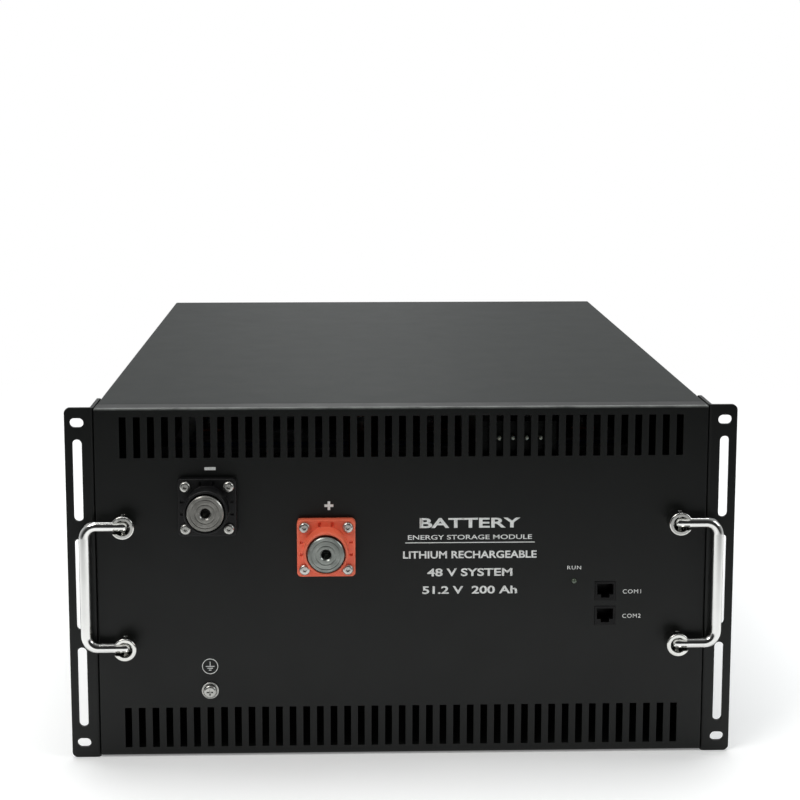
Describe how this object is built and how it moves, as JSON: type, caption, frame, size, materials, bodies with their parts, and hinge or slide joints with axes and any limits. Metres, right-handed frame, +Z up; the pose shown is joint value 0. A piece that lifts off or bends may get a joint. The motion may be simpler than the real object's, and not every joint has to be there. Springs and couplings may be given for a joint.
{
  "type": "server rack battery",
  "caption": "Rack-mounted lithium battery module: steel case with slotted ears, vent slots, two power terminals, network sockets and folding bow handles.",
  "frame": {"origin": "bottom centre of the whole module", "axes": "+X to the right seen from the front, -Y out of the front panel, +Z up"},
  "size_m": [0.4826, 0.604, 0.26],
  "materials": {
    "black_coat": "satin",
    "black_coat_dark": "satin",
    "chrome": "polished",
    "steel_zinc": "satin",
    "steel_black": "satin",
    "contact_plate": "satin",
    "plastic_black": "satin",
    "plastic_orange": "satin",
    "lens_clear": "gloss",
    "board_green": "satin",
    "port_black": "satin",
    "gold": "polished",
    "aluminium": "satin",
    "aluminium_black": "matte",
    "electrode": "matte",
    "copper": "satin",
    "tinned": "satin",
    "epoxy": "matte",
    "foam": "matte",
    "ceramic_white": "satin",
    "cable_red": "satin",
    "cable_black": "satin",
    "film_blue_can": "gloss",
    "capacitor": "satin",
    "connector_white": "satin"
  },
  "bodies": {
    "case": {"base_insulator": "epoxy", "bms_board": "board_green", "bms_bracket": "steel_zinc", "bms_capacitors": "capacitor", "bms_connector": "connector_white", "bms_heatsink": "aluminium_black", "bms_mosfets": "plastic_black", "bms_shunt": "copper", "board_standoffs": "tinned", "busbars": "copper", "cable_lugs": "tinned", "cell_cans": "film_blue_can", "cell_lids": "aluminium", "cell_poles": "aluminium", "cell_separators": "epoxy", "chassis_tray": "black_coat", "comm_board": "board_green", "comm_port_contacts": "gold", "comm_ports": "port_black", "cover_screws": "steel_black", "electrode_stacks": "electrode", "floor_nuts": "steel_zinc", "floor_screws": "steel_black", "foam_strips": "foam", "front_panel": "black_coat", "fuse_body": "ceramic_white", "fuse_post": "plastic_black", "fuse_tabs": "copper", "ground_screw": "steel_zinc", "handle_pins": "steel_zinc", "handle_posts": "chrome", "negative_cable": "cable_black", "negative_link_bar": "copper", "negative_terminal_base": "plastic_black", "negative_terminal_contact": "contact_plate", "pack_end_plates": "aluminium", "pack_nuts": "steel_zinc", "pack_side_rails": "steel_zinc", "pack_tie_rods": "steel_zinc", "pack_top_insulator": "epoxy", "panel_nuts": "steel_zinc", "panel_washers": "steel_zinc", "positive_cable": "cable_red", "positive_terminal_base": "plastic_orange", "positive_terminal_contact": "contact_plate", "power_studs": "tinned", "rack_ear_left": "black_coat_dark", "rack_ear_right": "black_coat_dark", "rack_ear_screws": "steel_black", "rear_panel": "black_coat", "rear_panel_screws": "steel_black", "run_led_lens": "lens_clear", "sense_harness": "cable_black", "soc_led_board": "board_green", "soc_leds": "lens_clear", "terminal_nuts": "steel_zinc", "terminal_screws": "steel_zinc", "top_cover": "black_coat"},
    "left_handle": {"handle_bow_left": "chrome"},
    "right_handle": {"handle_bow_right": "chrome"}
  },
  "joints": [
    {"name": "left_handle_fold", "type": "hinge", "parent": "case", "child": "left_handle", "pos_m": [-0.2, -0.2845, 0.13], "axis": [0, 0, 1], "range_deg": [0, 90]},
    {"name": "right_handle_fold", "type": "hinge", "parent": "case", "child": "right_handle", "pos_m": [0.2, -0.2845, 0.13], "axis": [0, 0, -1], "range_deg": [0, 90]}
  ]
}
